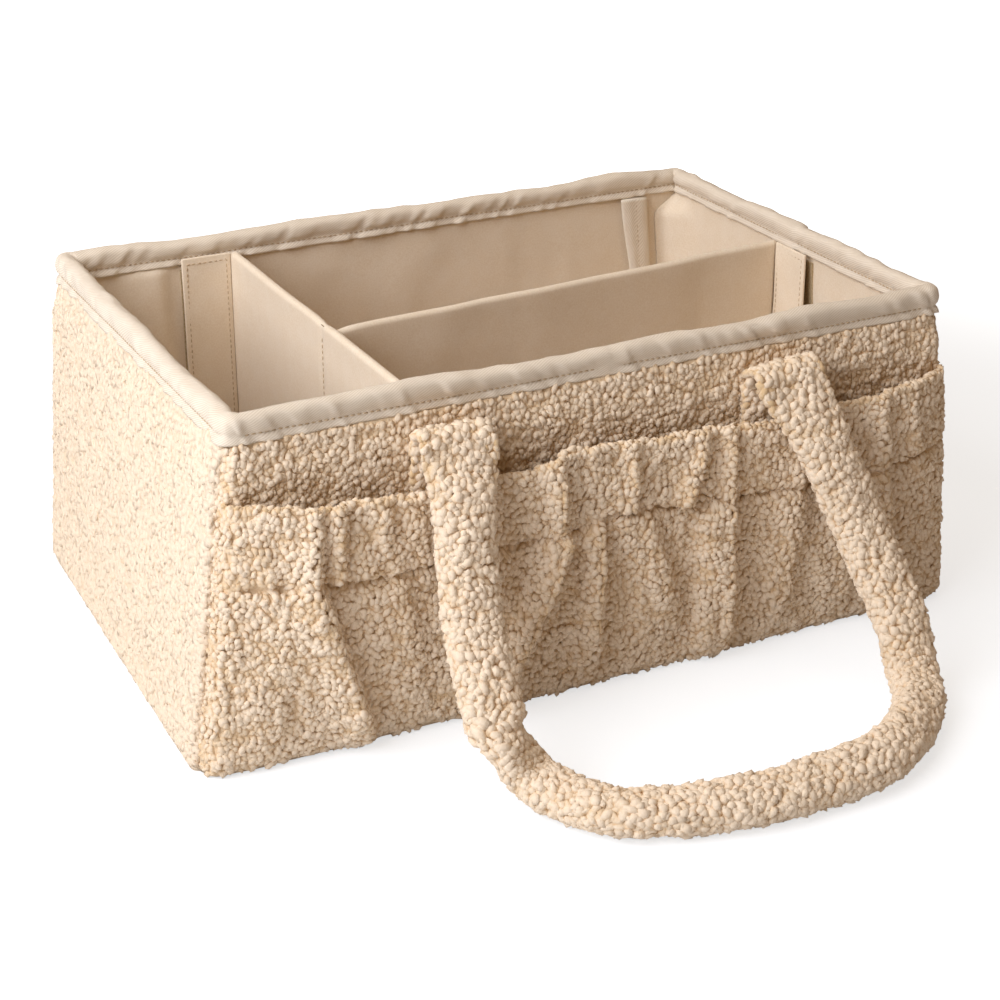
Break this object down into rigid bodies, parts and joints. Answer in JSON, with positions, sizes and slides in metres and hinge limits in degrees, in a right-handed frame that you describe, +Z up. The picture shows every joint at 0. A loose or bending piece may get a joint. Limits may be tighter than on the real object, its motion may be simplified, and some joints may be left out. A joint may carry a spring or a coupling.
{
  "type": "diaper caddy",
  "caption": "Soft teddy-fleece caddy box with a bound rim, a lift-out T divider, gathered side pockets and fold-down padded carrying handles.",
  "frame": {"origin": "centre of the base on the floor", "axes": "+X along the long walls to the right, +Y from the front wall to the back wall, +Z up"},
  "size_m": [0.418, 0.5744, 0.172],
  "materials": {
    "teddy_fleece": "curly pile",
    "lining_cloth": "brushed",
    "binding_tape": "twill",
    "stiff_board": "matte",
    "padding": "fibre fill",
    "elastic": "woven",
    "hook_tape": "hooked",
    "loop_tape": "looped"
  },
  "bodies": {
    "caddy": {"front_outer_panel": "teddy_fleece", "back_outer_panel": "teddy_fleece", "left_outer_panel": "teddy_fleece", "right_outer_panel": "teddy_fleece", "base_outer_panel": "teddy_fleece", "front_pocket_panel": "teddy_fleece", "front_handle_left_tab": "teddy_fleece", "front_handle_right_tab": "teddy_fleece", "front_pocket_elastic": "elastic", "back_pocket_panel": "teddy_fleece", "back_handle_left_tab": "teddy_fleece", "back_handle_right_tab": "teddy_fleece", "back_pocket_elastic": "elastic", "front_wall_board": "stiff_board", "back_wall_board": "stiff_board", "left_wall_board": "stiff_board", "right_wall_board": "stiff_board", "base_board": "stiff_board", "front_lining": "lining_cloth", "back_lining": "lining_cloth", "left_lining": "lining_cloth", "right_lining": "lining_cloth", "base_lining": "lining_cloth", "rim_binding": "binding_tape", "front_left_seam_binding": "binding_tape", "front_right_seam_binding": "binding_tape", "back_left_seam_binding": "binding_tape", "back_right_seam_binding": "binding_tape", "back_wall_loop_tape": "loop_tape", "front_wall_loop_tape": "loop_tape", "right_wall_loop_tape": "loop_tape"},
    "front_handle_legs": {"front_handle_left_leg": "teddy_fleece", "front_handle_left_leg_padding": "padding", "front_handle_right_leg": "teddy_fleece", "front_handle_right_leg_padding": "padding"},
    "front_handle_grip": {"front_handle_grip": "teddy_fleece", "front_handle_grip_padding": "padding"},
    "back_handle_legs": {"back_handle_left_leg": "teddy_fleece", "back_handle_left_leg_padding": "padding", "back_handle_right_leg": "teddy_fleece", "back_handle_right_leg_padding": "padding"},
    "back_handle_grip": {"back_handle_grip": "teddy_fleece", "back_handle_grip_padding": "padding"},
    "cross_divider": {"cross_divider_cover": "lining_cloth", "cross_divider_board": "stiff_board"},
    "cross_divider_back_tab": {"cross_divider_back_tab": "lining_cloth", "cross_divider_back_hook_tape": "hook_tape"},
    "cross_divider_front_tab": {"cross_divider_front_tab": "lining_cloth", "cross_divider_front_hook_tape": "hook_tape"},
    "long_divider": {"long_divider_cover": "lining_cloth", "long_divider_board": "stiff_board"},
    "long_divider_end_tab": {"long_divider_end_tab": "lining_cloth", "long_divider_hook_tape": "hook_tape"}
  },
  "joints": [
    {"name": "front_handle_lift", "type": "hinge", "parent": "caddy", "child": "front_handle_legs", "pos_m": [0, -0.1402, 0.1582], "axis": [-1, 0, 0], "range_deg": [0, 150]},
    {"name": "front_grip_straighten", "type": "hinge", "parent": "front_handle_legs", "child": "front_handle_grip", "pos_m": [0, -0.195, 0.03], "axis": [1, 0, 0], "range_deg": [0, 60]},
    {"name": "back_handle_lift", "type": "hinge", "parent": "caddy", "child": "back_handle_legs", "pos_m": [0, 0.1402, 0.1582], "axis": [1, 0, 0], "range_deg": [0, 150]},
    {"name": "back_grip_straighten", "type": "hinge", "parent": "back_handle_legs", "child": "back_handle_grip", "pos_m": [0, 0.195, 0.03], "axis": [-1, 0, 0], "range_deg": [0, 60]},
    {"name": "divider_lift", "type": "slide", "parent": "caddy", "child": "cross_divider", "axis": [0, 0, 1], "range_m": [0, 0.17]},
    {"name": "long_divider_swing", "type": "hinge", "parent": "cross_divider", "child": "long_divider", "pos_m": [-0.0922, -0.015, 0.085], "axis": [0, 0, 1], "range_deg": [-17, 17]},
    {"name": "cross_back_tab_peel", "type": "hinge", "parent": "cross_divider", "child": "cross_divider_back_tab", "pos_m": [-0.0978, 0.1142, 0.085], "axis": [0, 0, 1], "range_deg": [0, 80]},
    {"name": "cross_front_tab_peel", "type": "hinge", "parent": "cross_divider", "child": "cross_divider_front_tab", "pos_m": [-0.0978, -0.1142, 0.085], "axis": [0, 0, -1], "range_deg": [0, 80]},
    {"name": "long_end_tab_peel", "type": "hinge", "parent": "long_divider", "child": "long_divider_end_tab", "pos_m": [0.1782, 0.0028, 0.085], "axis": [0, 0, -1], "range_deg": [0, 75]}
  ],
  "couplings": [
    {"joint": "front_grip_straighten", "follows": "front_handle_lift", "ratio": 0.4},
    {"joint": "back_grip_straighten", "follows": "back_handle_lift", "ratio": 0.4}
  ]
}
